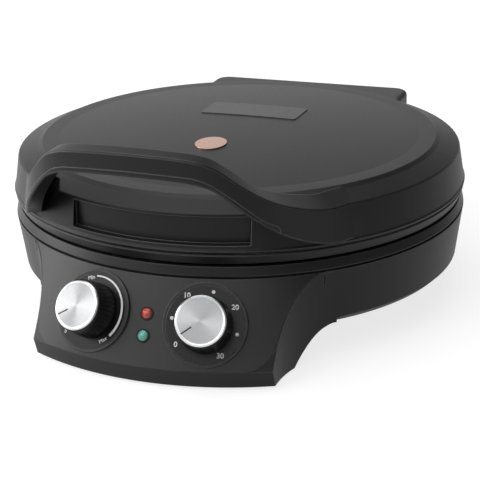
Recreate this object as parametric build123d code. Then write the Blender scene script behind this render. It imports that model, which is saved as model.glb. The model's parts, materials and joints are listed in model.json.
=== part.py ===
from build123d import *
from math import asin, atan2, cos, degrees, hypot, pi, radians, sin, sqrt
import os

# Electric pizza maker: a round tub on a front control pod and a rear block, with a
# domed lid that is lifted by a bowed handle and swings up about a pin at the rear.
# Millimetres. Z is up from the table, -Y is the front, X is the width.
# All pieces are drawn round the axis of the cooking plates, and moved to the
# middle of the footprint when they are written.

# Heights
foot_height = 2.0
leg_drop = 24.5
tub_depth = 50.0
parting_z = foot_height + leg_drop + tub_depth
leg_z = foot_height
tub_z = foot_height + leg_drop

# Round tub of the base
rim_radius = 172.0
tub_draft = 5.1
tub_bevel = 4.0
wall = 3.0
rim_wall = 4.7
floor_thickness = 3.0
rim_drop = 9.0

# Front pod with the sloping control panel
pod_half_width = 88.0
pod_blend = 80.0
panel_slope = 0.62
crease_drop = 62.0
plinth_lean = 4.6
pod_leg_setback = 21.5
pod_arch_run = 26.5
pod_inner_step = 16.0
pod_arch_share = 0.4
pod_arch_start_slope = 1.2
pod_arch_end_slope = 0.3
leg_return = 20.0
panel_proud = 0.5
panel_thickness = 2.0
panel_inset = 0.6
panel_corner = 16.0
panel_ledge = 9.0
seat_clearance = 0.15
slit_lead = 2.7
slit_width = 1.3
slit_height = 9.0
slit_depth = 1.6

# Rear block of the base and of the lid
block_half_width = 88.0
block_blend = 30.0
block_overhang = 22.0
base_block_step = 5.0
base_block_drop = 28.0
rear_leg_setback = 20.0
rear_arch_run = 40.0
rear_arch_start_slope = 0.2
rear_arch_end_slope = 0.12
rear_corner = 12.0

# Lips at the parting plane
lip_gap = 1.2
neck_step = 2.6
lip_height = 8.0
ring_width = 11.4
ledge_wall = 3.4
ledge_height = 4.2
spigot_depth = 2.0
spigot_clearance = 0.3
neck_fillet = 0.5
neck_chamfer = 0.2
lower_lip_swell = 1.8
lower_lip_reach = 2.3
lower_lip_rise = 1.0
upper_lip_reach = 2.4
upper_lip_fall = 1.6
upper_lip_step = 0.5
upper_lip_neck = 0.6
upper_lip_round = 0.7
lip_chamfer = 1.0

# Lid
bead_overhang = 0.5
bead_proud = 0.9
bead_height = 10.6
bead_lip = 1.6
lid_edge_height = 8.8
skirt_draft = 4.5
shoulder_height = 35.5
bevel_run = 18.0
bevel_rise = 6.7
dome_rise = 7.2
crease_round = 9.0
shoulder_round = 1.6
lid_wall = 2.6
block_height = 33.0
block_gap = 1.5
block_edge = 4.0

# Finger recess in the front of the lid and the pockets behind the handle ends
grip_wall_step = 16.5
grip_wall_angle = 51.0
grip_wall_floor = 12.3
recess_half_width = 65.0
recess_floor = 14.5
recess_top = 33.6
recess_depth = 2.4
pocket_depth = 10.0
pocket_turn = 32.0
pocket_setback = 25.0
pocket_end_angle = 42.5
pocket_mouth = 39.5
pocket_slope_run = 11.0
pocket_slope_end = 24.0
pocket_knee_run = 18.0
pocket_knee_end = 15.5
pocket_toe_run = 23.0
pocket_floor = 14.0
pocket_run = 34.0
pocket_end_rise = 1.0

# Handle: plan curve, rise and section
handle_overhang = 42.0
handle_bow = 52.0
handle_front_angle = 10.0
handle_corner_step = 100.0
handle_flank_angle = 61.3
handle_blend = 60.0
handle_level = 40.0
handle_foot_setback = 48.0
handle_rise = 52.0
handle_crown = 2.0
handle_height = 15.0
handle_top_width = 11.0
handle_edge = 1.0
handle_lip = 0.2
handle_heel = 1.2
handle_middle_rise = 2.0
handle_swell = 1.6
handle_back_end = 11.0
handle_back_middle = 15.0
handle_keel_end = 8.0
handle_keel_middle = 10.0
handle_belly = 0.45
handle_sink = 0.5
handle_overrun = 5.0
handle_trace = 1.0
handle_stations = 10
cover_height = 3.6
cover_gap = 0.15
cover_reach = 104.0
cover_front = 8.0
cover_back = 30.0
cover_under = 3.0

# Hinge
hinge_setback = 11.0
hinge_drop = 6.0
knuckle_radius = 9.5
web_back = 4.0
pin_grip = 0.01
pin_radius = 3.0
pin_clearance = 0.05
lug_start = 30.0
lug_end = 58.0
ear_width = 23.5
side_gap = 0.5

# Cooking plates, heaters and reflectors
plate_depth = 13.0
plate_thickness = 4.0
plate_corner_step = 3.0
flange_corner_step = 3.4
plate_draft = 3.0
mouth_step = 7.0
flange_clearance = 0.5
flange_thickness = 2.2
heater_radius = 3.25
heater_inset = 50.0
heater_gap = 0.2
heater_gap_angle = 14.0
heater_lead = 20.0
heater_pin = 8.0
boss_inset = 26.0
boss_radius = 5.0
boss_length = 12.0
reflector_inset = 2.0
reflector_thickness = 0.8
reflector_lip = 6.0
post_radius = 6.0
screw_radius = 1.9
screw_head_radius = 3.8
screw_head_height = 2.4
screw_bite = 8.0
screw_reach = 10.0
screw_clearance = 0.25
screw_room = 0.5
screw_thread_clearance = 0.05
drive_share = 0.4
drive_depth = 1.0
blind_depth = 2.0
boss_root = 0.5
ring_screw_inset = 3.0
ring_screw_boss = 5.5
notch_clearance = 0.4

# Dials, knobs and lamps on the panel
dial_angle = 12.5
dial_drop = 35.0
dial_rim = 2.4
dial_thickness = 0.6
dial_boss_radius = 29.0
dial_lift = 0.9
dial_clearance = 0.2
knob_gap = 0.8
knob_height = 18.4
knob_top_radius = 17.9
knob_base_radius = 19.1
knob_wall = 1.8
knob_skirt = 2.0
knob_edge = 1.2
knob_crown = 4.0
hub_radius = 6.0
hub_recess = 0.5
hub_grip = 0.02
hub_cap = 5.0
knob_ribs = 40
rib_depth = 0.7
rib_width = 1.0
rib_start = 1.2
rib_stop = 5.0
rib_sink = 0.35
rib_lean = 3.4
cap_radius = 17.0
cap_thickness = 1.4
cap_stand = 0.9
cap_rim = 2.2
cap_dish = 0.3
cap_clearance = 0.1
cap_bevel = 0.8
pointer_width = 0.9
pointer_start = 0.42
pointer_rim = 1.4
pointer_depth = 0.4
zero_angle = 216.0
bush_radius = 5.0
shaft_radius = 3.0
shaft_clearance = 0.05
shaft_depth = 4.0
shaft_end_gap = 0.2
shaft_flat = 1.8
shaft_flat_length = 8.0
switch_seat = -3.4
switch_seat_radius = 17.0
switch_depth = 11.0
thermostat_radius = 14.0
timer_width = 26.0
tab_offset = 5.0
tab_width = 3.0
tab_thickness = 0.8
tab_length = 4.0
lamp_drops = (31.0, 43.8)
lamp_radius = 3.5
lamp_bezel_radius = 4.7
lamp_bezel_lift = 0.7
lamp_dome = 1.6
lamp_body_length = 8.0
lamp_flange = 1.5
lamp_collar_clearance = 0.1

# Trim on the dome
pad_half_width = 39.0
pad_front = 20.0
pad_back = 54.0
pad_lift = 0.7
pad_sink = 1.0
pad_corner = 2.5
pad_clearance = 0.15
disc_x = -2.0
disc_y = -54.0
disc_half_width = 11.5
disc_half_length = 13.5
disc_lift = 0.8

# Feet, cord gland and covers
foot_radius = 8.0
foot_x = 74.0
front_foot_setback = 19.5
rear_foot_setback = 22.0
foot_peg = 3.2
gland_drop = 52.0
gland_bore = 3.6
gland_radius = 6.5
gland_flange = 9.0
gland_stand = 4.0
gland_length = 16.0
gland_bite = 0.5
gland_clearance = 0.1
vent_count = 3
vent_pitch = 18.0
vent_width = 5.0
vent_start = 20.0
vent_end = 75.0
terminal_width = 30.0
terminal_depth = 12.0
terminal_height = 10.0
terminal_screw_radius = 1.6
terminal_setback = 17.0
cover_plate = 2.5
cover_ledge = 2.0

# Outlines worked out from the driving sizes
tub_bottom_radius = rim_radius - tub_draft
pod_leg_back = rim_radius - pod_leg_setback
pod_arch_end = pod_leg_back - pod_arch_run
pod_inner_radius = rim_radius - pod_inner_step
slit_angle = degrees(asin((pod_half_width + pod_blend) / (rim_radius + pod_blend))) - slit_lead
block_reach = rim_radius + block_overhang
base_block_reach = block_reach - base_block_step
rear_leg_front = rim_radius - rear_leg_setback
rear_arch_end = rear_leg_front - rear_arch_run
neck_radius = rim_radius - neck_step
ring_bore = neck_radius - ring_width
ledge_radius = neck_radius - ledge_wall
bead_radius = rim_radius + bead_overhang
shoulder_radius = bead_radius - skirt_draft
crease_radius = shoulder_radius - bevel_run
crease_height = shoulder_height + bevel_rise
grip_wall_radius = bead_radius - grip_wall_step
recess_radius = shoulder_radius - recess_depth
pocket_radius = shoulder_radius - pocket_depth
pocket_start = shoulder_radius - pocket_setback
handle_reach = rim_radius + handle_overhang
handle_front_radius = rim_radius + handle_bow
handle_corner_radius = rim_radius - handle_corner_step
handle_foot = shoulder_radius - handle_foot_setback
hinge_y = block_reach - hinge_setback
plate_mouth_radius = ring_bore - mouth_step
plate_floor_radius = plate_mouth_radius - plate_draft
flange_radius = ledge_radius - flange_clearance
heater_loop = plate_floor_radius - heater_inset
boss_circle = plate_floor_radius - boss_inset
reflector_radius = plate_floor_radius - reflector_inset
ring_screw_circle = ledge_radius - ring_screw_inset
dial_radius = dial_boss_radius - dial_rim
front_foot_y = -pod_leg_back - front_foot_setback
rear_foot_y = rear_leg_front + rear_foot_setback
terminal_y = base_block_reach - terminal_setback
block_top_z = parting_z + block_height
rim_z = parting_z - rim_drop
crease_z = parting_z - crease_drop
shoulder_z = parting_z + shoulder_height
dome_z = parting_z + crease_height + dome_rise
dome_radius = (crease_radius**2 + dome_rise**2) / (2 * dome_rise)
hinge_z = parting_z - hinge_drop
slope_run = sqrt(1 + panel_slope**2)
crease_r = rim_radius + panel_slope * (rim_z - crease_z)
base_block_z = parting_z - base_block_drop
boss_angles = (30, 150, 270)
ring_screw_angles = (0, 60, 120, 180, 240, 300)
panel_back = panel_thickness + seat_clearance
pod_roof_z = rim_z - spigot_depth - rim_wall / 2
ear_start = lug_end + side_gap
knob_low = dial_lift + knob_gap
knob_top = knob_low + knob_height
cap_low = knob_top - cap_thickness + cap_stand
bottom = leg_z - 5
beyond = 260.0


def turned(*points):
    """Solid of revolution about Z of a closed outline of (radius, height) points."""
    return revolve(make_face(Plane.XZ * Polyline(*points, close=True)), Axis.Z)


def drum(radius, low, high, x=0.0, y=0.0):
    """Upright cylinder between two heights."""
    return Pos(x, y, low) * extrude(Circle(radius), high - low)


def block(x0, x1, y0, y1, z0, z1):
    """Box between two corners."""
    return Pos(x0, y0, z0) * Box(x1 - x0, y1 - y0, z1 - z0, align=(Align.MIN,) * 3)


def flared_plan(half_width, reach, body_radius, blend):
    """Plan of a block that leaves the round body towards -Y, its sides flaring into the body."""
    cx = half_width + blend
    cy = -sqrt((body_radius + blend) ** 2 - cx**2)
    share = body_radius / (body_radius + blend)
    touch = (cx * share, cy * share)
    turn = (pi + atan2(-cy, -cx)) / 2
    middle = (cx + blend * cos(turn), cy + blend * sin(turn))
    side = Line((half_width, -reach), (half_width, cy))
    flare = ThreePointArc((half_width, cy), middle, touch)
    half = make_face([Line((0, 0), (0, -reach)), Line((0, -reach), (half_width, -reach)),
                      side, flare, Line(touch, (0, 0))])
    return half + mirror(half, Plane.YZ)


def flared_block(half_width, reach, body_radius, blend, low, high, inset=0.0):
    """Upright block on a flared plan; an inset draws every side in by the same amount."""
    plan = flared_plan(half_width - inset, reach - inset, body_radius - inset, blend + inset)
    return Pos(0, 0, low) * extrude(plan, high - low)


def pod_block(low, high, inset=0.0):
    """Front pod on a flared plan whose sides follow the tub's drafted wall from low to high."""
    plans = []
    for z in (low, high):
        radius = rim_radius - tub_draft * (rim_z - z) / (rim_z - tub_z - tub_bevel) - inset
        plans.append(Pos(0, 0, z) * flared_plan(pod_half_width - inset, beyond, radius, pod_blend + inset))
    return loft(plans, ruled=True)


def pod_turned(inset=0.0, plinth_inset=0.0, low=leg_z):
    """Round form whose front is the sloping panel face, with the plinth leaning in below."""
    shift = inset * slope_run
    lean = plinth_lean * (crease_z - low) / (crease_z - leg_z)
    return turned((0, low), (crease_r - lean - plinth_inset, low), (crease_r - shift, crease_z),
                  (rim_radius - shift, rim_z), (0, rim_z))


def arch(rise=0.0, draw=0.0):
    """Space under the tub between the front leg and the rear leg."""
    front, rear = -pod_leg_back - draw, rear_leg_front + draw
    top = tub_z + rise
    middle = (leg_z + rise + top) / 2
    knee = front + pod_arch_share * pod_arch_run
    ramp_front = Spline((front, leg_z + rise), (knee, middle), (-pod_arch_end, top),
                        tangents=[(1, pod_arch_start_slope), (1, pod_arch_end_slope)])
    ramp_rear = Spline((rear_arch_end, top), (rear - rear_arch_run / 2, middle), (rear, leg_z + rise),
                       tangents=[(1, -rear_arch_end_slope), (1, -rear_arch_start_slope)])
    outline = [ramp_front, Line((-pod_arch_end, top), (rear_arch_end, top)), ramp_rear,
               Line((rear, leg_z + rise), (rear, bottom)), Line((rear, bottom), (front, bottom)),
               Line((front, bottom), (front, leg_z + rise))]
    return extrude(make_face(Plane.YZ * Curve(outline)), beyond, both=True)


def on_dial(side):
    """Plane at a dial's centre on the panel face, facing out along the panel's normal."""
    turn = radians(dial_angle * side)
    radius = crease_r - panel_slope * (parting_z - dial_drop - crease_z)
    out = (sin(turn) / slope_run, -cos(turn) / slope_run, panel_slope / slope_run)
    centre = (radius * sin(turn), -radius * cos(turn), parting_z - dial_drop)
    return Plane(origin=centre, x_dir=(cos(turn), sin(turn), 0), z_dir=out)


def on_lamp(drop):
    """Plane at a lamp's centre on the middle line of the panel."""
    radius = crease_r - panel_slope * (parting_z - drop - crease_z)
    out = (0, -1 / slope_run, panel_slope / slope_run)
    return Plane(origin=(0, -radius, parting_z - drop), x_dir=(1, 0, 0), z_dir=out)


def panel_form(inset, front, back):
    """Conical panel slab between two depths from the pod face, with rounded lower corners."""
    low = crease_z + inset
    slab = pod_block(low, rim_z, inset)
    slab = slab & (pod_turned(front) - pod_turned(back))
    edge = pod_half_width - inset
    for side in (-1, 1):
        x0, x1 = sorted((side * (edge - panel_corner), side * (edge + 1)))
        corner = block(x0, x1, -beyond, 0, low - 1, low + panel_corner)
        core = Plane.XZ * Pos(side * (edge - panel_corner), low + panel_corner)
        slab -= corner - extrude(core * Circle(panel_corner), beyond)
    return slab


def sag(radius, reach):
    """Drop of a sphere below its top, at a distance from its axis."""
    return radius - sqrt(radius**2 - reach**2)


def dome_layer(low, high):
    """Slice of the dome between two offsets from its surface."""
    edge = crease_radius - block_edge
    lower = [(reach, dome_z + low - sag(dome_radius + low, reach)) for reach in (0, edge / 2, edge)]
    upper = [(reach, dome_z + high - sag(dome_radius + high, reach)) for reach in (0, edge / 2, edge)]
    outline = [ThreePointArc(*lower), Line(lower[2], upper[2]), ThreePointArc(*upper),
               Line(upper[0], lower[0])]
    return revolve(make_face(Plane.XZ * Curve(outline)), Axis.Z)


def lid_turned(inset, low):
    """Round form of the lid: dome, bevel, skirt and bead, drawn in by an inset."""
    crease = (crease_radius - inset / 2, parting_z + crease_height - inset)
    rise = dome_z - inset - crease[1]
    radius = (crease[0] ** 2 + rise**2) / (2 * rise)
    middle = (crease[0] / 2, dome_z - inset - sag(radius, crease[0] / 2))
    shoulder = (shoulder_radius - inset, shoulder_z - inset)
    bead = parting_z + bead_height
    skirt = (bead_radius - bead_proud - inset, bead + bead_lip)
    outline = [Line((0, low), (0, dome_z - inset)), ThreePointArc((0, dome_z - inset), middle, crease),
               Line(crease, shoulder), Line(shoulder, skirt), Line(skirt, (bead_radius - inset, bead)),
               Line((bead_radius - inset, bead), (bead_radius - bead_proud - inset, low)),
               Line((bead_radius - bead_proud - inset, low), (0, low))]
    face = make_face(Plane.XZ * Curve(outline))
    if inset == 0:
        soft = face.vertices().sort_by_distance((crease[0], 0, crease[1]))[0]
        face = fillet(soft, crease_round)
        crisp = face.vertices().sort_by_distance((shoulder[0], 0, shoulder[1]))[0]
        face = fillet(crisp, shoulder_round)
    return revolve(face, Axis.Z)


def handle_path(distance):
    """Point and heading of the handle's outer plan curve, at a distance from its middle."""
    first = radians(handle_front_angle)
    second = radians(handle_flank_angle)
    front_length = handle_front_radius * first
    corner_length = handle_corner_radius * (second - first)
    start = (handle_front_radius * sin(first),
             -handle_reach + handle_front_radius * (1 - cos(first)))
    centre = (start[0] - handle_corner_radius * sin(first), start[1] + handle_corner_radius * cos(first))
    knee = (centre[0] + handle_corner_radius * sin(second), centre[1] - handle_corner_radius * cos(second))
    hub = (knee[0] + handle_blend * sin(second), knee[1] - handle_blend * cos(second))
    along = hub[0] * cos(second) + hub[1] * sin(second)
    flank_length = -along - sqrt(along**2 - hypot(*hub) ** 2 + (shoulder_radius + handle_blend) ** 2)
    if distance < front_length:
        turn = distance / handle_front_radius
        return (handle_front_radius * sin(turn),
                -handle_reach + handle_front_radius * (1 - cos(turn)), turn)
    distance -= front_length
    if distance < corner_length:
        turn = first + distance / handle_corner_radius
        return (centre[0] + handle_corner_radius * sin(turn),
                centre[1] - handle_corner_radius * cos(turn), turn)
    distance -= corner_length
    run = min(distance, flank_length)
    x, y = knee[0] + run * cos(second), knee[1] + run * sin(second)
    turn = second - (distance - run) / handle_blend
    x += handle_blend * (sin(second) - sin(turn))
    y -= handle_blend * (cos(second) - cos(turn))
    return x, y, turn


def handle_length():
    """Distance from the handle's middle to where it has run into the lid's skirt."""
    distance = 0.0
    while handle_path(distance)[0] < handle_foot + handle_overrun:
        distance += handle_trace
    return distance


def handle_heights(x):
    """Share of the full rise at a width, the height of the top edge and of the lower edge."""
    place = min(max((abs(x) - handle_level) / (handle_foot - handle_level), 0), 1)
    share = 0.5 * (1 + cos(pi * place))
    crown = handle_crown * max(1 - (x / handle_level) ** 2, 0)
    top = shoulder_z + handle_rise * share + crown
    skirt = shoulder_height - bead_height
    height = handle_height + (skirt - handle_height) * (1 - share) ** 1.5
    return share, top, top - height


def between(end, middle, share):
    """Value that goes from the handle's end to its middle."""
    return end + (middle - end) * share


def handle_plane(x, y, turn, side):
    """Upright plane across the handle, its first axis pointing out of the lid."""
    return Plane(origin=(side * x, y, 0), x_dir=(side * sin(turn), -cos(turn), 0),
                 z_dir=(-cos(turn), -side * sin(turn), 0))


def handle_section(distance, side):
    """Closed section of the handle at a distance from its middle."""
    x, y, turn = handle_path(distance)
    share, top, low = handle_heights(x)
    sunk = handle_sink * (1 - share) ** 2
    draft = between(bead_radius - bead_proud - shoulder_radius, 0, share)
    bulge = 4 * share * (1 - share)
    width = between(shoulder_radius - crease_radius, handle_top_width, share)
    lift = between(bevel_rise, handle_middle_rise, share) + handle_swell * bulge
    back = between(handle_back_end, handle_back_middle, share)
    keel = between(handle_keel_end, handle_keel_middle, share)
    points = [(draft - handle_edge - sunk, low), (draft - sunk, low + handle_edge),
              (-sunk, top - handle_edge - sunk), (-handle_edge - sunk, top + handle_lip - sunk),
              (-width + 1.5 * handle_edge, top + lift - handle_lip - sunk),
              (-width, top + lift - handle_heel - sunk), (-back, top - handle_belly * (top - low)),
              (-keel, max(low, parting_z + grip_wall_floor))]
    return handle_plane(x, y, turn, side) * make_face(Polyline(*points, close=True))


def cover_section(distance, side, rise):
    """Section of the space that the handle's lower cover takes."""
    x, y, turn = handle_path(distance)
    low = handle_heights(x)[2]
    points = [(cover_front, low - cover_under), (cover_front, low + rise),
              (-cover_back, low + rise), (-cover_back, low - cover_under)]
    return handle_plane(x, y, turn, side) * make_face(Polyline(*points, close=True))


def along_handle(section, length, stations):
    """Loft of a section from one end of the handle, through its middle, to the other."""
    steps = [length * n / stations for n in range(stations, 0, -1)]
    sections = [section(step, -1) for step in steps]
    sections += [section(0, 1)] + [section(step, 1) for step in reversed(steps)]
    return loft(sections)


def pocket(side):
    """Pocket behind one end of the handle, its floor rising towards the middle of the lid."""
    turn = radians(pocket_turn)
    across = Plane(origin=(0, 0, 0), x_dir=(side * cos(turn), -sin(turn), 0),
                   z_dir=(-sin(turn), -side * cos(turn), 0) if side > 0 else (-sin(turn), cos(turn), 0))
    z = parting_z
    top = dome_z + lid_wall
    outline = Polyline((pocket_start, top), (pocket_start, z + pocket_mouth),
                       (pocket_start + pocket_slope_run, z + pocket_slope_end),
                       (pocket_start + pocket_knee_run, z + pocket_knee_end),
                       (pocket_start + pocket_toe_run, z + pocket_floor),
                       (pocket_start + pocket_run, z + pocket_floor + pocket_end_rise),
                       (pocket_start + pocket_run, top), close=True)
    form = extrude(across * make_face(outline), beyond, both=True)
    form = form & (drum(beyond, z, top) - drum(pocket_radius, z, top))
    x0, x1 = sorted((0, side * beyond))
    form = form & block(x0, x1, -beyond, 0, z, top)
    return form - Rot(0, 0, side * pocket_end_angle) * block(x0, x1, -beyond, beyond, z, top)


def wedge(angle, low, high):
    """Front sector of a wide drum, to both sides of -Y."""
    reach = 2 * beyond
    corner = (reach * sin(radians(angle)), -reach * cos(radians(angle)))
    plan = make_face(Polyline((0, 0), corner, (0, -2 * reach), (-corner[0], corner[1]), close=True))
    return Pos(0, 0, low) * extrude(plan, high - low)


def upright_screw(x, y, seat, tip, up=1):
    """Pan-head screw whose head rests on a seat and whose shank ends at a tip height."""
    head = drum(screw_head_radius, min(seat, seat - up * screw_head_height),
                max(seat, seat - up * screw_head_height), x, y)
    shank = drum(screw_radius, min(seat, tip), max(seat, tip), x, y)
    drive_end = seat - up * (screw_head_height - drive_depth)
    drive = drum(screw_head_radius * drive_share, min(seat - up * screw_head_height, drive_end),
                 max(seat - up * screw_head_height, drive_end), x, y)
    return head + shank - drive


def round_places(circle, angles):
    """Points on a circle about the plates' axis."""
    return [(circle * cos(radians(a)), circle * sin(radians(a))) for a in angles]


# Heights inside the base and the lid
plate_z = parting_z - plate_depth - plate_thickness
boss_z = plate_z - boss_length
reflector_z = boss_z - reflector_thickness
floor_z = tub_z + floor_thickness
upper_plate_z = parting_z + plate_depth
upper_back_z = upper_plate_z + plate_thickness
upper_boss_z = upper_back_z + boss_length
screw_hole = screw_radius + screw_clearance
thread_radius = screw_radius + screw_thread_clearance
boss_places = round_places(boss_circle, boss_angles)
ring_places = round_places(ring_screw_circle, ring_screw_angles)


def hollow_pod():
    """Space inside the front pod, outside the tub and above the arch."""
    space = pod_block(bottom, pod_roof_z, wall + cover_ledge)
    space = space & pod_turned(panel_back + wall, wall + cover_ledge, bottom)
    space -= drum(pod_inner_radius, tub_z, rim_z)
    space -= arch(floor_thickness, wall)
    return space & block(-beyond, beyond, -beyond, -pod_leg_back + leg_return, bottom, rim_z)


def hollow_rear():
    """Space inside the rear block, outside the tub and above the arch."""
    space = rear_block(bottom, base_block_z - wall, wall + cover_ledge)
    space -= drum(tub_bottom_radius, tub_z, rim_z)
    space -= arch(floor_thickness, wall)
    return space & block(-beyond, beyond, rear_leg_front - leg_return, beyond, bottom, rim_z)


def rear_block(low, high, inset=0.0):
    """Block behind the tub of the base."""
    form = flared_block(block_half_width, base_block_reach, tub_bottom_radius, block_blend,
                        low, high, inset)
    return Rot(0, 0, 180) * form


def cover_form(clearance):
    """Plates that close the undersides of the front pod and the rear block."""
    inset = wall + clearance
    front = pod_block(leg_z, leg_z + cover_plate, inset)
    front = front & pod_turned(inset, inset)
    front = front & block(-beyond, beyond, -beyond, -pod_leg_back - inset, bottom, rim_z)
    rear = rear_block(leg_z, leg_z + cover_plate, inset)
    rear = rear & block(-beyond, beyond, rear_leg_front + inset, beyond, bottom, rim_z)
    return front, rear


def make_base_housing():
    """Tub, front pod and rear block in one moulding, open at the top and under both legs."""
    tub = turned((0, tub_z), (tub_bottom_radius - tub_bevel, tub_z),
                 (tub_bottom_radius, tub_z + tub_bevel), (rim_radius, rim_z), (0, rim_z))
    pod = pod_block(leg_z, rim_z)
    rear = rear_block(leg_z, base_block_z)
    rear = fillet(rear.edges().filter_by(Axis.Z).sort_by(Axis.Y)[-2:], rear_corner)
    tunnel = arch()
    shell = tub + ((pod & pod_turned(panel_proud)) - tunnel) + (rear - tunnel)
    shell -= turned((0, floor_z), (tub_bottom_radius - wall, floor_z),
                    (rim_radius - rim_wall, rim_z - spigot_depth - 1), (rim_radius - rim_wall, rim_z + 1),
                    (0, rim_z + 1))
    shell -= hollow_pod()
    shell -= hollow_rear()
    for mouth in cover_form(0):
        shell -= mouth
    shell -= panel_form(panel_inset - seat_clearance, -wall, panel_back)
    shell -= panel_form(panel_ledge, -wall, panel_back + 2 * wall)
    for side in (-1, 1):
        slit = block(-slit_width / 2, slit_width / 2, -rim_radius - 8, -rim_radius + slit_depth,
                     rim_z - slit_height, rim_z + 1)
        shell -= Rot(0, 0, side * slit_angle) * slit
        x0, x1 = sorted((side * ear_start, side * (ear_start + ear_width)))
        web = block(x0, x1, hinge_y - knuckle_radius, hinge_y + web_back, base_block_z - wall, hinge_z)
        shell += along_hinge(knuckle_radius, x0, x1) + web
    shell -= along_hinge(pin_radius + pin_grip, -beyond, beyond)
    for x, y in boss_places:
        shell += drum(post_radius, floor_z - 1, reflector_z, x, y)
        shell -= drum(screw_hole, bottom, reflector_z + 1, x, y)
        shell -= drum(screw_head_radius + screw_room, bottom, tub_z + screw_head_height, x, y)
    gland = Plane.XZ * Pos(0, parting_z - gland_drop) * Circle(gland_radius + gland_clearance)
    shell -= Pos(0, base_block_reach + wall, 0) * extrude(gland, 4 * wall)
    for n in range(-vent_count, vent_count + 1):
        x = n * vent_pitch
        shell -= block(x - vent_width / 2, x + vent_width / 2, vent_start, vent_end, tub_z - 1, floor_z + 1)
    return shell


def along_hinge(radius, x0, x1):
    """Cylinder on the hinge axis between two widths."""
    return Pos(x0, 0, 0) * extrude(Plane.YZ * Pos(hinge_y, hinge_z) * Circle(radius), x1 - x0)


def make_control_panel():
    """Conical fascia with two round dial seats and two lamp holes."""
    panel = panel_form(panel_inset, 0, panel_thickness)
    for side in (-1, 1):
        place = on_dial(side)
        boss = turned((0, -4 * wall), (dial_boss_radius, -4 * wall), (dial_boss_radius, 0),
                      (dial_boss_radius - dial_lift / 2, dial_lift), (0, dial_lift))
        panel += (place * boss) & panel_form(panel_inset, -wall, panel_thickness)
        panel += place * drum(switch_seat_radius, switch_seat, switch_seat / 2)
        panel -= place * drum(dial_radius + dial_clearance, dial_lift - dial_thickness, wall)
        panel -= place * drum(bush_radius + seat_clearance, 2 * switch_seat, wall)
    for drop in lamp_drops:
        panel -= on_lamp(drop) * drum(lamp_radius + seat_clearance, 2 * switch_seat, wall)
    return panel


def make_dial(side):
    """Thin printed disc under a knob."""
    disc = drum(dial_radius, dial_lift - dial_thickness, dial_lift)
    disc -= drum(bush_radius + seat_clearance, -wall, wall)
    return on_dial(side) * disc


def make_knob(side):
    """Hollow ribbed knob on its hub, with a seat for the metal cap."""
    body = turned((0, knob_low), (knob_base_radius, knob_low), (knob_base_radius, knob_low + knob_skirt),
                  (knob_top_radius, knob_top - knob_edge), (knob_top_radius - knob_edge, knob_top),
                  (0, knob_top))
    body -= turned((0, knob_low - 1), (knob_base_radius - knob_wall, knob_low - 1),
                   (knob_top_radius - knob_wall, knob_top - knob_crown), (0, knob_top - knob_crown))
    body += drum(hub_radius, knob_low + hub_recess, knob_top - knob_crown + 1)
    body -= drum(shaft_radius + hub_grip, knob_low - 1, knob_top - hub_cap)
    rib = Box(2 * rib_depth, rib_width, knob_height - rib_stop, align=(Align.CENTER, Align.CENTER, Align.MIN))
    rib = Rot(0, -rib_lean, 0) * Pos(knob_base_radius + rib_sink, 0, knob_low + rib_start) * rib
    body -= [Rot(0, 0, 360 * n / knob_ribs) * rib for n in range(knob_ribs)]
    body -= drum(cap_radius + cap_clearance, cap_low, knob_top + 1)
    return on_dial(side) * Rot(0, 0, zero_angle) * body


def make_cap(side):
    """Spun metal cap with a bevelled rim and an engraved pointer line."""
    top = cap_low + cap_thickness
    surface = top - cap_dish
    cap = turned((0, cap_low), (cap_radius, cap_low), (cap_radius, top - cap_bevel),
                 (cap_radius - cap_bevel, top), (cap_radius - cap_rim, surface), (0, surface))
    cap -= block(cap_radius * pointer_start, cap_radius - pointer_rim, -pointer_width / 2, pointer_width / 2,
                 surface - pointer_depth, surface + 1)
    return on_dial(side) * Rot(0, 0, zero_angle) * cap


def make_shaft(side):
    """Control shaft from inside the switch to the knob's hub, with a flat at its end."""
    top = knob_top - hub_cap - shaft_end_gap
    shaft = drum(shaft_radius, switch_seat - shaft_depth, top)
    flat_low = top - shaft_flat_length
    shaft -= block(shaft_flat, 2 * shaft_radius, -shaft_radius, shaft_radius, flat_low, top + 1)
    return on_dial(side) * shaft


def make_switch(side, form):
    """Switch behind the panel, with the bush that its nut clamps through the panel."""
    back = switch_seat - switch_depth
    shell = Pos(0, 0, back) * extrude(form, switch_depth)
    shell += drum(bush_radius, switch_seat - 1, dial_lift)
    shell -= drum(shaft_radius + shaft_clearance, switch_seat - shaft_depth - seat_clearance, wall)
    for x in (-tab_offset, tab_offset):
        shell += block(x - tab_width / 2, x + tab_width / 2, -tab_thickness / 2, tab_thickness / 2,
                       back - tab_length, back + 1)
    return on_dial(side) * shell


def make_lamp_lens(drop):
    """Domed lamp lens."""
    lens = drum(lamp_radius, -panel_thickness, lamp_bezel_lift)
    dome_r = (lamp_radius**2 + lamp_dome**2) / (2 * lamp_dome)
    cap = Pos(0, 0, lamp_bezel_lift + lamp_dome - dome_r) * Sphere(dome_r)
    lens += cap & drum(lamp_radius, lamp_bezel_lift, lamp_bezel_lift + lamp_dome)
    return on_lamp(drop) * lens


def make_lamp_bezels():
    """Thin collars round both lenses."""
    ring = drum(lamp_bezel_radius, 0, lamp_bezel_lift) - drum(lamp_radius + lamp_collar_clearance, -1, wall)
    return [on_lamp(drop) * ring for drop in lamp_drops]


def make_lamp_bodies():
    """Lamp holders behind the lenses."""
    seat = -panel_thickness - seat_clearance
    holder = drum(lamp_radius, seat - lamp_body_length, seat)
    holder += drum(lamp_bezel_radius, seat - lamp_flange, seat)
    return [on_lamp(drop) * holder for drop in lamp_drops]


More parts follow.
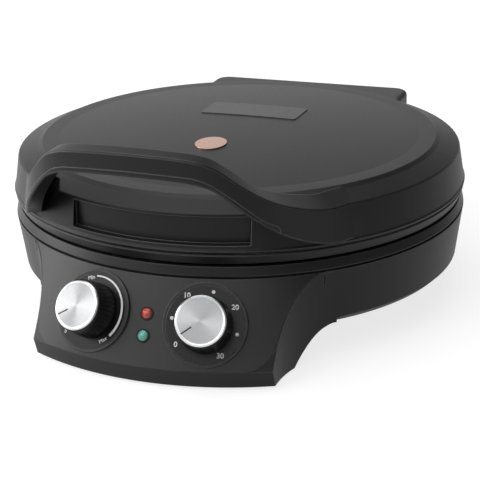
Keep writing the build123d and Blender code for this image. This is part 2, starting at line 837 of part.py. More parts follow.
def make_base_ring():
    """Ring on the base that carries the lower plate and forms the lower lip."""
    z = parting_z
    spigot = rim_radius - rim_wall - spigot_clearance
    lip = z - lip_height
    return turned((ring_bore, rim_z - spigot_depth), (spigot, rim_z - spigot_depth), (spigot, rim_z),
                  (neck_radius + neck_fillet, rim_z), (neck_radius + neck_fillet, lip - neck_chamfer),
                  (neck_radius + lower_lip_swell, lip), (neck_radius + lower_lip_reach, lip + lower_lip_rise),
                  (neck_radius, z - lip_gap), (ledge_radius, z - lip_gap),
                  (ledge_radius, z - ledge_height), (ring_bore, z - ledge_height))


def make_lid_ring():
    """Ring under the lid that holds the upper plate and forms the upper lip."""
    z = parting_z
    spigot = bead_radius - bead_proud - lid_wall - spigot_clearance
    edge = z + lid_edge_height
    ring = turned((ring_bore, z + block_gap), (neck_radius - lip_chamfer, z + block_gap),
                  (neck_radius, z + lip_gap),
                  (neck_radius + upper_lip_reach, edge - upper_lip_fall),
                  (neck_radius + upper_lip_reach - upper_lip_step, edge - upper_lip_round),
                  (neck_radius + upper_lip_neck, edge - upper_lip_neck), (neck_radius + upper_lip_neck, edge),
                  (spigot, edge), (spigot, edge + spigot_depth), (ledge_radius, edge + spigot_depth),
                  (ledge_radius, z + ledge_height), (ring_bore, z + ledge_height))
    for x, y in ring_places:
        ring += drum(ring_screw_boss, z + ledge_height - boss_root, edge + spigot_depth, x, y)
    for x, y in ring_places:
        ring -= drum(screw_hole, z, dome_z, x, y)
        ring -= drum(screw_head_radius + screw_clearance, z, z + ledge_height, x, y)
    return ring


def make_plate(up):
    """Dished cooking plate with its flange and three bosses on the back."""
    z = parting_z
    if up > 0:
        flange_low = z + ledge_height
        plate = turned((0, z + plate_depth), (plate_floor_radius, z + plate_depth),
                       (plate_mouth_radius, flange_low), (flange_radius, flange_low),
                       (flange_radius, flange_low + flange_thickness),
                       (plate_mouth_radius + flange_corner_step, flange_low + flange_thickness),
                       (plate_floor_radius + plate_corner_step, upper_back_z), (0, upper_back_z))
        for x, y in ring_places:
            plate -= drum(ring_screw_boss + notch_clearance, z, z + plate_depth, x, y)
    else:
        flange_low = z - ledge_height
        plate = turned((0, z - plate_depth), (plate_floor_radius, z - plate_depth),
                       (plate_mouth_radius, flange_low + flange_thickness),
                       (flange_radius, flange_low + flange_thickness), (flange_radius, flange_low),
                       (plate_mouth_radius + flange_corner_step, flange_low),
                       (plate_floor_radius + plate_corner_step, plate_z), (0, plate_z))
    for x, y in boss_places:
        if up > 0:
            plate += drum(boss_radius, upper_back_z - boss_root, upper_boss_z, x, y)
            plate -= drum(thread_radius, upper_back_z + blind_depth, upper_boss_z + 1, x, y)
        else:
            plate += drum(boss_radius, boss_z, plate_z + boss_root, x, y)
            plate -= drum(thread_radius, boss_z - 1, plate_z - blind_depth, x, y)
    return plate


def make_heater(z):
    """Tubular heater: one open loop with two cold ends turned towards the front."""
    section = Plane.XZ * Pos(heater_loop, 0) * Circle(heater_radius)
    tube = Rot(0, 0, heater_gap_angle - 90) * revolve(section, Axis.Z, 360 - 2 * heater_gap_angle)
    place = radians(heater_gap_angle)
    x, y = heater_loop * sin(place), -heater_loop * cos(place)
    for side in (-1, 1):
        tube += Pos(side * x, y, 0) * Rot(90, 0, 0) * drum(heater_radius, -heater_radius, heater_lead)
        tube += Pos(side * x, y, 0) * Rot(90, 0, 0) * drum(heater_radius / 2, 0, heater_lead + heater_pin)
    return Pos(0, 0, z) * tube


def make_reflector(low, up):
    """Shallow metal pan behind a heater, with a lip turned towards the plate."""
    t = reflector_thickness
    lip = reflector_lip
    if up < 0:
        pan = turned((0, low), (reflector_radius, low), (reflector_radius, low + lip),
                     (reflector_radius - t, low + lip), (reflector_radius - t, low + t), (0, low + t))
    else:
        pan = turned((0, low), (reflector_radius - t, low), (reflector_radius - t, low - lip),
                     (reflector_radius, low - lip), (reflector_radius, low + t), (0, low + t))
    for x, y in boss_places:
        pan -= drum(screw_hole, low - 5, low + 5, x, y)
    return pan


def lid_block(low, high, inset=0.0):
    """Block behind the dome of the lid."""
    form = flared_block(block_half_width, block_reach, shoulder_radius, block_blend, low, high, inset)
    return Rot(0, 0, 180) * form


def make_lid_parts():
    """Lid moulding with its bowed handle, finger recess, rear block and lugs, and the handle's cover."""
    low = parting_z + lid_edge_height
    rear = lid_block(parting_z + block_gap, block_top_z)
    rear = fillet(rear.edges().filter_by(Axis.Z).sort_by(Axis.Y)[-2:], rear_corner)
    rear = fillet(rear.faces().sort_by(Axis.Z)[-1].edges().sort_by(Axis.Y)[-5:], block_edge)
    rear -= drum(bead_radius + 0.1, parting_z, low)
    rear -= drum(crease_radius, parting_z, block_top_z + 1)
    hollow = lid_block(parting_z, block_top_z - lid_wall, lid_wall)
    hollow -= drum(bead_radius, parting_z - 1, block_top_z)
    grip = lid_turned(lid_wall / 2, low) - drum(grip_wall_radius, low, dome_z + 1)
    grip = grip & wedge(grip_wall_angle, parting_z + grip_wall_floor, dome_z + 1)
    shell = lid_turned(0, low) + rear
    shell -= lid_turned(lid_wall, low - 1)
    shell -= hollow
    shell += grip
    recess = drum(beyond, parting_z + recess_floor, parting_z + recess_top)
    recess -= drum(recess_radius, parting_z, dome_z)
    shell -= recess & block(-recess_half_width, recess_half_width, -beyond, 0, parting_z, dome_z)
    for side in (-1, 1):
        shell -= pocket(side)
        x0, x1 = sorted((side * lug_start, side * lug_end))
        lug = block(x0, x1, hinge_y - knuckle_radius, hinge_y + knuckle_radius, hinge_z,
                    block_top_z - lid_wall / 2)
        shell += (lug & lid_block(hinge_z, block_top_z, lid_wall / 2)) + along_hinge(knuckle_radius, x0, x1)
    shell -= along_hinge(pin_radius + pin_clearance, -lug_end - side_gap, lug_end + side_gap)
    for x, y in ring_places:
        shell += drum(ring_screw_boss, low + spigot_depth + spigot_clearance, low + 1.5 * screw_reach, x, y)
        shell -= drum(thread_radius, low, low + screw_reach + 1, x, y)
    bar = along_handle(handle_section, handle_length(), handle_stations)
    reach = cover_reach
    cover = bar & along_handle(lambda d, side: cover_section(d, side, cover_height), reach, handle_stations)
    slot = along_handle(lambda d, side: cover_section(d, side, cover_height + cover_gap),
                        reach + cover_gap, handle_stations)
    shell += bar - slot
    shell -= pad_form(pad_clearance, -pad_sink)
    return shell, cover


def pad_form(clearance, low):
    """Rounded rectangle on the dome, between a depth below its surface and a height above."""
    width, length = 2 * pad_half_width, pad_back - pad_front
    plan = RectangleRounded(width + 2 * clearance, length + 2 * clearance, pad_corner + clearance)
    prism = Pos(0, (pad_front + pad_back) / 2, shoulder_z) * extrude(plan, dome_z)
    return prism & dome_layer(low, pad_lift)


def make_pad():
    """Thin ribbed inlay in a recess of the dome."""
    return pad_form(0, -pad_sink)


def make_badge():
    """Plain oval metal disc laid on the dome."""
    plan = Ellipse(disc_half_width, disc_half_length)
    prism = Pos(disc_x, disc_y, shoulder_z) * extrude(plan, dome_z)
    return prism & dome_layer(0, disc_lift)


def make_cover(plate, y):
    """Bottom cover with two holes for the feet."""
    for side in (-1, 1):
        plate -= drum(foot_peg + seat_clearance, bottom, rim_z, side * foot_x, y)
    return plate


def make_feet(y):
    """Pair of rubber feet with pegs through the cover."""
    feet = []
    for side in (-1, 1):
        foot = turned((0, 0), (foot_radius - 1, 0), (foot_radius, foot_height), (foot_peg, foot_height),
                      (foot_peg, foot_height + cover_plate), (0, foot_height + cover_plate))
        feet.append(Pos(side * foot_x, y, 0) * foot)
    return feet


def make_gland():
    """Cord gland through the rear wall, its hole open to the back."""
    face = base_block_reach
    place = Pos(0, 0, parting_z - gland_drop) * Rot(90, 0, 0)
    gland = drum(gland_radius, -face - gland_bite, -face + gland_length - gland_stand)
    gland += drum(gland_flange, -face - gland_stand, -face)
    gland -= drum(gland_bore, -face - gland_stand - 1, -face + gland_length)
    return place * gland


def make_terminal_block():
    """Screw terminal block that joins the cord to the wiring, seated on the rear block's roof."""
    body = block(-terminal_width / 2, terminal_width / 2, terminal_y, terminal_y + terminal_depth,
                 base_block_z - wall - terminal_height, base_block_z - wall)
    pitch = terminal_width / 3
    for n in (-1, 0, 1):
        body -= drum(terminal_screw_radius, bottom, base_block_z - wall - terminal_height / 2, n * pitch,
                     terminal_y + terminal_depth / 2)
    return body


def write(name, shape):
    """Write one piece, or a group of like pieces, moved to the middle of the footprint."""
    whole = Compound(shape) if isinstance(shape, list) else shape
    export_step(Pos(0, (handle_reach - block_reach) / 2, 0) * whole, f"parts/{name}.step")


if __name__ == "__main__":
    os.makedirs("parts", exist_ok=True)
    lid_shell, handle_cover = make_lid_parts()
    front_cover, rear_cover = cover_form(seat_clearance)
    tip = boss_z + screw_bite
    plate_screws = [upright_screw(x, y, tub_z + screw_head_height, tip) for x, y in boss_places]
    upper_screws = [upright_screw(x, y, upper_boss_z + reflector_thickness, upper_boss_z - screw_bite, -1)
                    for x, y in boss_places]
    ring_screws = [upright_screw(x, y, parting_z + ledge_height, parting_z + lid_edge_height + screw_reach)
                   for x, y in ring_places]
    write("base_housing", make_base_housing())
    write("control_panel", make_control_panel())
    write("pod_cover", make_cover(front_cover, front_foot_y))
    write("rear_cover", make_cover(rear_cover, rear_foot_y))
    write("front_feet", make_feet(front_foot_y))
    write("rear_feet", make_feet(rear_foot_y))
    write("base_rim_ring", make_base_ring())
    write("lower_heating_plate", make_plate(-1))
    write("lower_heating_element", make_heater(plate_z - heater_gap - heater_radius))
    write("lower_reflector", make_reflector(reflector_z, -1))
    write("lower_plate_screws", plate_screws)
    write("hinge_pin", along_hinge(pin_radius, -ear_start - ear_width, ear_start + ear_width))
    write("cord_gland", make_gland())
    write("terminal_block", make_terminal_block())
    for name, side, form in (("thermostat", -1, Circle(thermostat_radius)),
                             ("timer", 1, RectangleRounded(timer_width, timer_width, 2))):
        write(f"{name}_switch", make_switch(side, form))
        write(f"{name}_shaft", make_shaft(side))
        write(f"{name}_dial", make_dial(side))
        write(f"{name}_knob", make_knob(side))
        write(f"{name}_knob_cap", make_cap(side))
    write("red_lamp_lens", make_lamp_lens(lamp_drops[0]))
    write("green_lamp_lens", make_lamp_lens(lamp_drops[1]))
    write("lamp_bezels", make_lamp_bezels())
    write("lamp_holders", make_lamp_bodies())
    write("lid_shell", lid_shell)
    write("handle_lower_cover", handle_cover)
    write("lid_rim_ring", make_lid_ring())
    write("upper_heating_plate", make_plate(1))
    write("upper_heating_element", make_heater(upper_back_z + heater_gap + heater_radius))
    write("upper_reflector", make_reflector(upper_boss_z, 1))
    write("upper_plate_screws", upper_screws)
    write("lid_ring_screws", ring_screws)
    write("lid_top_pad", make_pad())
    write("lid_badge", make_badge())
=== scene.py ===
"""Look of an electric pizza maker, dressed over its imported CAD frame.

The solids carry the shapes. This script gives each of them its real finish, adds what is
printed on the dials and the band round the lid's dome, and sets up the studio and the camera.
Metres, in the frame of the CAD.
"""

import json
import logging
import math
from dataclasses import dataclass, field
from enum import Enum

import bmesh
import bpy
from mathutils import Matrix, Vector
from mathutils.bvhtree import BVHTree

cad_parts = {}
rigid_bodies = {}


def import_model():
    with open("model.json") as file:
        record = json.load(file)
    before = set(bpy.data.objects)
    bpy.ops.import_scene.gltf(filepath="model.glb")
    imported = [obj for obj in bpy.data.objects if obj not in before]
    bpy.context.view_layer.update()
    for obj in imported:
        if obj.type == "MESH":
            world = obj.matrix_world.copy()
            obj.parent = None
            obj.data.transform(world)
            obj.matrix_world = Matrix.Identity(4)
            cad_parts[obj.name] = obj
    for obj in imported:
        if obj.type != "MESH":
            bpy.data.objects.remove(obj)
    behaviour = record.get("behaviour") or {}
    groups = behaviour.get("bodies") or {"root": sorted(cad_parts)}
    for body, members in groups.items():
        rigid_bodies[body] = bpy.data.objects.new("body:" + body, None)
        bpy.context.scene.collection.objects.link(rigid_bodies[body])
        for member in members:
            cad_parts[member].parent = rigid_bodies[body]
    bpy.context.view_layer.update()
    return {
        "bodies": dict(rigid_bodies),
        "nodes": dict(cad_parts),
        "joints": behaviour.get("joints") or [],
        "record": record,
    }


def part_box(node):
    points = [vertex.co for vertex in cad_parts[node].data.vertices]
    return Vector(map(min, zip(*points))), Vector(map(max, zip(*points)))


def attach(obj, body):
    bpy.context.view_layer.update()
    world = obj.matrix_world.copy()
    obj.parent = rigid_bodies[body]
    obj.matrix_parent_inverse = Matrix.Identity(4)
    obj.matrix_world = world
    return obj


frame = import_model()

LOG = logging.getLogger("pizza_maker")
MM = 0.001
SHARP_ANGLE = 15.0  # edges of turned pieces that bend by more degrees than this stay crisp
NOISE_LOW, NOISE_HIGH = 0.3, 0.7  # values that a noise mostly keeps between
OCTAVE_FALL = 0.55  # how much each finer octave of a grain still shows


class Body(Enum):
    """Rigid bodies of the appliance, by their names in the frame."""

    BASE = "base"
    LID = "lid"
    THERMOSTAT = "thermostat_control"
    TIMER = "timer_control"


class Dial(Enum):
    """Dials on the sloping panel, by the joint of the knob that turns on each."""

    THERMOSTAT = "thermostat_turn"
    TIMER = "timer_turn"

    def matrix(self) -> Matrix:
        """Reads the dial's place from its knob's joint.

        Returns:
            Matrix whose Z axis points out of the dial and whose X axis points to the right.
        """
        joint = next(j for j in frame["joints"] if j["name"] == self.value)
        out = -Vector(joint["axis"]).normalized()
        right = Vector((-out.y, out.x, 0)).normalized()
        up = out.cross(right)
        turn = Matrix((right, up, out)).transposed().to_4x4()
        return Matrix.Translation(Vector(joint["pos_m"])) @ turn


def srgb(code: str, share: float = 1.0) -> tuple[float, float, float, float]:
    """Turns an sRGB hex colour into linear light.

    Args:
        code: six hex digits.
        share: how much of the light is kept, for a darker tone of the same colour.

    Returns:
        Linear red, green, blue and an alpha of one.
    """
    parts = [int(code[i : i + 2], 16) / 255 for i in (0, 2, 4)]
    linear = [c / 12.92 if c <= 0.04045 else ((c + 0.055) / 1.055) ** 2.4 for c in parts]
    return linear[0] * share, linear[1] * share, linear[2] * share, 1.0


def add(
    tree: bpy.types.NodeTree, kind: str, inputs: dict | None = None, **settings: object
) -> bpy.types.Node:
    """Adds one node with its settings, and with a value or a link in each of its inputs.

    Args:
        tree: tree that takes the node.
        kind: node type, without the "ShaderNode" in front.
        inputs: value, or the socket that feeds it, of each input by its name or number.
        **settings: attributes of the node and their values.

    Returns:
        The new node.
    """
    node = tree.nodes.new("ShaderNode" + kind)
    for key, value in settings.items():
        setattr(node, key, value)
    for key, value in (inputs or {}).items():
        if isinstance(value, bpy.types.NodeSocket):
            tree.links.new(value, node.inputs[key])
        else:
            node.inputs[key].default_value = value
    return node


def new_material(name: str) -> tuple[bpy.types.Material, bpy.types.NodeTree]:
    """Starts an empty node material.

    Args:
        name: name of the finish.

    Returns:
        The material and its tree.
    """
    material = bpy.data.materials.new(name)
    material.use_nodes = True
    material.node_tree.nodes.clear()
    return material, material.node_tree


def middle_of(node: str) -> tuple[float, float, float]:
    """Gives the middle of a node's box, in metres."""
    low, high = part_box(node)
    return tuple((a + b) / 2 for a, b in zip(low, high))


def turned(
    name: str, profile: list[tuple[float, float]], steps: int, place: Matrix
) -> bpy.types.Object:
    """Turns a closed profile into a ring and puts it in the scene.

    Args:
        name: name of the piece.
        profile: closed outline, as pairs of radius and height in millimetres.
        steps: facets round the ring.
        place: matrix whose Z axis is the ring's axis.

    Returns:
        The ring, smooth but for its sharp edges.
    """
    form = bmesh.new()
    rings = []
    for n in range(steps):
        turn = Matrix.Rotation(math.tau * n / steps, 4, "Z")
        ring = [turn @ Vector((reach, 0, height)) * MM for reach, height in profile]
        rings.append([form.verts.new(point) for point in ring])
    for ring, after in zip(rings, rings[1:] + rings[:1]):
        for k in range(len(profile)):
            j = (k + 1) % len(profile)
            form.faces.new((ring[k], ring[j], after[j], after[k]))
    bmesh.ops.recalc_face_normals(form, faces=form.faces[:])
    mesh = bpy.data.meshes.new(name)
    form.to_mesh(mesh)
    form.free()
    mesh.transform(place)
    mesh.polygons.foreach_set("use_smooth", [True] * len(mesh.polygons))
    mesh.set_sharp_from_angle(angle=math.radians(SHARP_ANGLE))
    piece = bpy.data.objects.new(name, mesh)
    bpy.context.scene.collection.objects.link(piece)
    return piece


@dataclass(frozen=True)
class SparkedPlastic:
    """Plastic injection-moulded in a tool whose face was eroded by sparks.

    To the eye it is one deep, even tone with a dull sheen that the grain breaks up. Each edge
    carries a painted highlight: it is painted paler and made smoother.
    """

    name: str
    colour: str
    fleck: str
    roughness: float = 0.42
    gloss_spread: float = 0.05
    specular: float = 0.29
    cloud_mm: float = 30.0  # width of the faint patches of colour and fleck
    grain_mm: float = 0.7  # the real grain is about 0.1 mm, drawn coarser so that it shows
    grain_depth_mm: float = 0.012
    grain_strength: float = 0.6
    octaves: float = 2.0
    edge_mm: float = 0.9
    edge_samples: int = 6
    # Painted highlight along the edges: its colour, its roughness, the bend where it starts and is
    # full, and its share.
    edge_colour: str = "6C6C6E"
    edge_roughness: float = 0.28
    edge_bend: tuple[float, float] = (0.995, 0.85)  # cosines where the painted edge highlight starts and is full
    edge_wear: float = 0.9

    def build(self) -> bpy.types.Material:
        """Builds two close tones, a grain in gloss and relief, and a painted highlight along the
        edges.

        Returns:
            The material.
        """
        material, tree = new_material(self.name)
        place = add(tree, "TexCoord").outputs["Object"]
        grain = {"Vector": place, "Detail": self.octaves, "Roughness": OCTAVE_FALL}
        broad = add(tree, "TexNoise", {"Scale": 1 / (self.cloud_mm * MM), **grain}).outputs[0]
        fine = add(tree, "TexNoise", {"Scale": 1 / (self.grain_mm * MM), **grain}).outputs[0]
        tones = {"Factor": broad, "A": srgb(self.colour), "B": srgb(self.fleck)}
        tone = add(tree, "Mix", tones, data_type="RGBA").outputs["Result"]

        # Painted highlight along every edge: where the bevelled normal bends away from the face,
        # the colour is mixed toward the edge colour, pale on the black plastics, and the roughness
        # is lowered.
        edge = add(tree, "Bevel", {"Radius": self.edge_mm * MM}, samples=self.edge_samples)
        normals = {0: edge.outputs[0], 1: add(tree, "NewGeometry").outputs["Normal"]}
        bent = add(tree, "VectorMath", normals, operation="DOT_PRODUCT").outputs["Value"]
        start, full = self.edge_bend
        span = {"From Min": start, "From Max": full, "To Max": self.edge_wear}
        painted_edge_highlight = add(tree, "MapRange", {"Value": bent, **span}).outputs[0]
        tones = {"Factor": painted_edge_highlight, "A": tone, "B": srgb(self.edge_colour)}
        edge_highlighted_tone = add(tree, "Mix", tones, data_type="RGBA").outputs["Result"]

        span = {"From Min": NOISE_LOW, "From Max": NOISE_HIGH,
                "To Min": self.roughness - self.gloss_spread,
                "To Max": self.roughness + self.gloss_spread}
        dull = add(tree, "MapRange", {"Value": fine, **span}).outputs[0]
        span = {"To Min": dull, "To Max": self.edge_roughness}
        rough = add(tree, "MapRange", {"Value": painted_edge_highlight, **span}).outputs[0]
        depth = {"Strength": self.grain_strength, "Distance": self.grain_depth_mm * MM}
        relief = add(tree, "Bump", {"Height": fine, "Normal": edge.outputs[0], **depth})

        shader = add(tree, "BsdfPrincipled", {
            "Base Color": edge_highlighted_tone,
            "Roughness": rough,
            "Specular IOR Level": self.specular,
            "Normal": relief.outputs[0],
        })
        add(tree, "OutputMaterial", {"Surface": shader.outputs[0]})
        return material


@dataclass(frozen=True)
class PebbledInlay:
    """ABS inlay moulded in a tool whose face was etched with round pebbles.

    To the eye it is greyer than the lid round it, as each pebble catches a point of light; its
    valleys are darkened with painted shade.
    """

    name: str
    colour: str
    pebble_mm: float = 1.5  # drawn as coarse as the pebbles need to show
    jumble: float = 0.7
    depth_mm: float = 0.18
    strength: float = 0.8
    valley: float = 0.6  # distance from a pebble's middle to its valley, as a share of its width
    # share of the colour kept in the valleys, a painted shade
    valley_shade: float = 0.6
    roughness: float = 0.5

    def build(self) -> bpy.types.Material:
        """Builds round pebbles with painted shade in their valleys.

        Returns:
            The material.
        """
        material, tree = new_material(self.name)
        place = add(tree, "TexCoord").outputs["Object"]
        pattern = {"Scale": 1 / (self.pebble_mm * MM), "Randomness": self.jumble}
        reach = add(tree, "TexVoronoi", {"Vector": place, **pattern}).outputs["Distance"]
        # Painted shade: the colour darkens from each pebble's middle toward its valley.
        span = {"From Max": self.valley, "To Min": 1.0, "To Max": self.valley_shade}
        shade = add(tree, "MapRange", {"Value": reach, **span}).outputs[0]
        tones = {"Factor": 1.0, "A": srgb(self.colour), "B": shade}
        tone = add(tree, "Mix", tones, data_type="RGBA", blend_type="MULTIPLY")
        depth = {"Strength": self.strength, "Distance": self.depth_mm * MM}
        relief = add(tree, "Bump", {"Height": reach, **depth}, invert=True)
        shader = add(tree, "BsdfPrincipled", {
            "Base Color": tone.outputs["Result"],
            "Roughness": self.roughness,
            "Normal": relief.outputs[0],
        })
        add(tree, "OutputMaterial", {"Surface": shader.outputs[0]})
        return material


@dataclass(frozen=True)
class SpunAluminium:
    """Aluminium face turned on a lathe, with its rim cut bright and its pointer inked black.

    To the eye the fine rings fan the light out into rays from the middle, and the rim is a
    pale line round them.
    """

    name: str
    centre: tuple[float, float, float]
    axis: tuple[float, float, float]
    colour: str = "A9AAAC"
    rim_colour: str = "EDEEEF"
    ink_colour: str = "101010"
    rim_mm: float = 15.0  # the rim lies outside this radius
    groove_height_mm: float = 20.5  # the pointer's groove lies lower, and within the reach below
    groove_reach_mm: float = 15.4
    ring_mm: float = 0.55  # real rings are finer, drawn as coarse as they need to show
    ring_depth_mm: float = 0.01
    ring_strength: float = 0.2
    octaves: float = 3.0
    roughness: float = 0.3
    gloss_span: tuple[float, float] = (-0.03, 0.04)
    anisotropy: float = 0.9
    edge_mm: float = 0.25
    edge_samples: int = 4

    def build(self) -> bpy.types.Material:
        """Builds rings about the face's own centre, with the gloss spread across them.

        Returns:
            The material.
        """
        material, tree = new_material(self.name)
        place = add(tree, "TexCoord").outputs["Object"]
        offset = add(tree, "VectorMath", {0: place, 1: self.centre}, operation="SUBTRACT")
        arm = offset.outputs[0]
        around = add(tree, "VectorMath", {0: arm, 1: self.axis}, operation="CROSS_PRODUCT")
        round_face = around.outputs[0]
        outward = add(tree, "VectorMath", {0: round_face, 1: self.axis}, operation="CROSS_PRODUCT")
        tangent = add(tree, "VectorMath", {0: outward.outputs[0]}, operation="NORMALIZE")
        length = add(tree, "VectorMath", {0: round_face}, operation="LENGTH")
        reach = length.outputs["Value"]
        rise = add(tree, "VectorMath", {0: arm, 1: self.axis}, operation="DOT_PRODUCT")
        height = rise.outputs["Value"]

        low = {0: height, 1: self.groove_height_mm * MM}
        sunk = add(tree, "Math", low, operation="LESS_THAN").outputs[0]
        near = {0: reach, 1: self.groove_reach_mm * MM}
        within = add(tree, "Math", near, operation="LESS_THAN").outputs[0]
        inked = add(tree, "Math", {0: sunk, 1: within}, operation="MULTIPLY").outputs[0]
        bare = add(tree, "Math", {0: 1.0, 1: inked}, operation="SUBTRACT").outputs[0]
        rim = add(tree, "Math", {0: reach, 1: self.rim_mm * MM}, operation="GREATER_THAN")
        tones = {"Factor": rim.outputs[0], "A": srgb(self.colour), "B": srgb(self.rim_colour)}
        cut = add(tree, "Mix", tones, data_type="RGBA").outputs["Result"]
        tones = {"Factor": inked, "A": cut, "B": srgb(self.ink_colour)}
        tone = add(tree, "Mix", tones, data_type="RGBA").outputs["Result"]

        pattern = {"W": reach, "Scale": 1 / (self.ring_mm * MM), "Detail": self.octaves}
        rings = add(tree, "TexNoise", pattern, noise_dimensions="1D").outputs[0]
        span = {"From Min": NOISE_LOW, "From Max": NOISE_HIGH,
                "To Min": self.roughness + self.gloss_span[0],
                "To Max": self.roughness + self.gloss_span[1]}
        rough = add(tree, "MapRange", {"Value": rings, **span}).outputs[0]
        edge = add(tree, "Bevel", {"Radius": self.edge_mm * MM}, samples=self.edge_samples)
        depth = {"Strength": self.ring_strength, "Distance": self.ring_depth_mm * MM}
        relief = add(tree, "Bump", {"Height": rings, "Normal": edge.outputs[0], **depth})

        shader = add(tree, "BsdfPrincipled", {
            "Base Color": tone,
            "Metallic": bare,
            "Roughness": rough,
            "Anisotropic": self.anisotropy,
            "Tangent": tangent.outputs[0],
            "Normal": relief.outputs[0],
        })
        add(tree, "OutputMaterial", {"Surface": shader.outputs[0]})
        return material


@dataclass(frozen=True)
class WorkedMetal:
    """Metal that was drawn, rolled, cast or plated, by its colour, gloss and grain.

    To the eye it is one even metal whose shine is broken up by a fine all-over grain.
    """

    name: str
    colour: str
    roughness: float
    grain_mm: float
    metallic: float = 1.0
    gloss_spread: float = 0.08
    shade: float = 0.8
    depth_mm: float = 0.01
    strength: float = 0.5
    octaves: float = 4.0
    edge_mm: float = 0.3
    edge_samples: int = 4

    def build(self) -> bpy.types.Material:
        """Builds an even metal whose tone and gloss vary with the grain.

        Returns:
            The material.
        """
        material, tree = new_material(self.name)
        place = add(tree, "TexCoord").outputs["Object"]
        grain = {"Vector": place, "Detail": self.octaves, "Roughness": OCTAVE_FALL}
        fine = add(tree, "TexNoise", {"Scale": 1 / (self.grain_mm * MM), **grain}).outputs[0]
        tones = {"Factor": fine, "A": srgb(self.colour, self.shade), "B": srgb(self.colour)}
        tone = add(tree, "Mix", tones, data_type="RGBA")
        span = {"From Min": NOISE_LOW, "From Max": NOISE_HIGH,
                "To Min": self.roughness - self.gloss_spread,
                "To Max": self.roughness + self.gloss_spread}
        rough = add(tree, "MapRange", {"Value": fine, **span}).outputs[0]
        edge = add(tree, "Bevel", {"Radius": self.edge_mm * MM}, samples=self.edge_samples)
        depth = {"Strength": self.strength, "Distance": self.depth_mm * MM}
        relief = add(tree, "Bump", {"Height": fine, "Normal": edge.outputs[0], **depth})
        shader = add(tree, "BsdfPrincipled", {
            "Base Color": tone.outputs["Result"],
            "Metallic": self.metallic,
            "Roughness": rough,
            "Normal": relief.outputs[0],
        })
        add(tree, "OutputMaterial", {"Surface": shader.outputs[0]})
        return material


@dataclass(frozen=True)
class TintedAcrylic:
    """Acrylic lens, moulded from tinted stock with a diffusing grain inside.

    To the eye its colour is deep and milky, under a clear and smooth gloss.
    """

    name: str
    colour: str
    deep: str
    grain_mm: float = 0.9
    grain_depth_mm: float = 0.05
    grain_strength: float = 0.3
    octaves: float = 2.0
    roughness: float = 0.35
    scatter: float = 0.25
    scatter_mm: float = 1.5
    coat: float = 0.8
    coat_roughness: float = 0.12

    def build(self) -> bpy.types.Material:
        """Builds a colour that scatters light inside, under a smooth coat.

        Returns:
            The material.
        """
        material, tree = new_material(self.name)
        place = add(tree, "TexCoord").outputs["Object"]
        grain = {"Vector": place, "Detail": self.octaves, "Roughness": OCTAVE_FALL}
        inner = add(tree, "TexNoise", {"Scale": 1 / (self.grain_mm * MM), **grain}).outputs[0]
        tones = {"Factor": inner, "A": srgb(self.deep), "B": srgb(self.colour)}
        tone = add(tree, "Mix", tones, data_type="RGBA")
        depth = {"Strength": self.grain_strength, "Distance": self.grain_depth_mm * MM}
        relief = add(tree, "Bump", {"Height": inner, **depth})
        shader = add(tree, "BsdfPrincipled", {
            "Base Color": tone.outputs["Result"],
            "Roughness": self.roughness,
            "Subsurface Weight": self.scatter,
            "Subsurface Scale": self.scatter_mm * MM,
            "Coat Weight": self.coat,
            "Coat Roughness": self.coat_roughness,
            "Normal": relief.outputs[0],
        })
        add(tree, "OutputMaterial", {"Surface": shader.outputs[0]})
        return material


@dataclass(frozen=True)
class ScreenInk:
    """White ink, printed through a screen.

    To the eye it is flat, opaque and nearly even, with the screen's mesh faint in it.
    """

    name: str
    colour: str = "F4F4F2"
    mesh_mm: float = 0.3
    shade: float = 0.85
    octaves: float = 2.0
    roughness: float = 0.6

    def build(self) -> bpy.types.Material:
        """Builds a near-even colour with a fine screen's grain.

        Returns:
            The material.
        """
        material, tree = new_material(self.name)
        place = add(tree, "TexCoord").outputs["Object"]
        grain = {"Vector": place, "Detail": self.octaves, "Roughness": OCTAVE_FALL}
        mesh = add(tree, "TexNoise", {"Scale": 1 / (self.mesh_mm * MM), **grain}).outputs[0]
        tones = {"Factor": mesh, "A": srgb(self.colour, self.shade), "B": srgb(self.colour)}
        tone = add(tree, "Mix", tones, data_type="RGBA").outputs["Result"]
        look = {"Base Color": tone, "Roughness": self.roughness}
        shader = add(tree, "BsdfPrincipled", look)
        add(tree, "OutputMaterial", {"Surface": shader.outputs[0]})
        return material


Finish = SparkedPlastic | PebbledInlay | WorkedMetal | TintedAcrylic


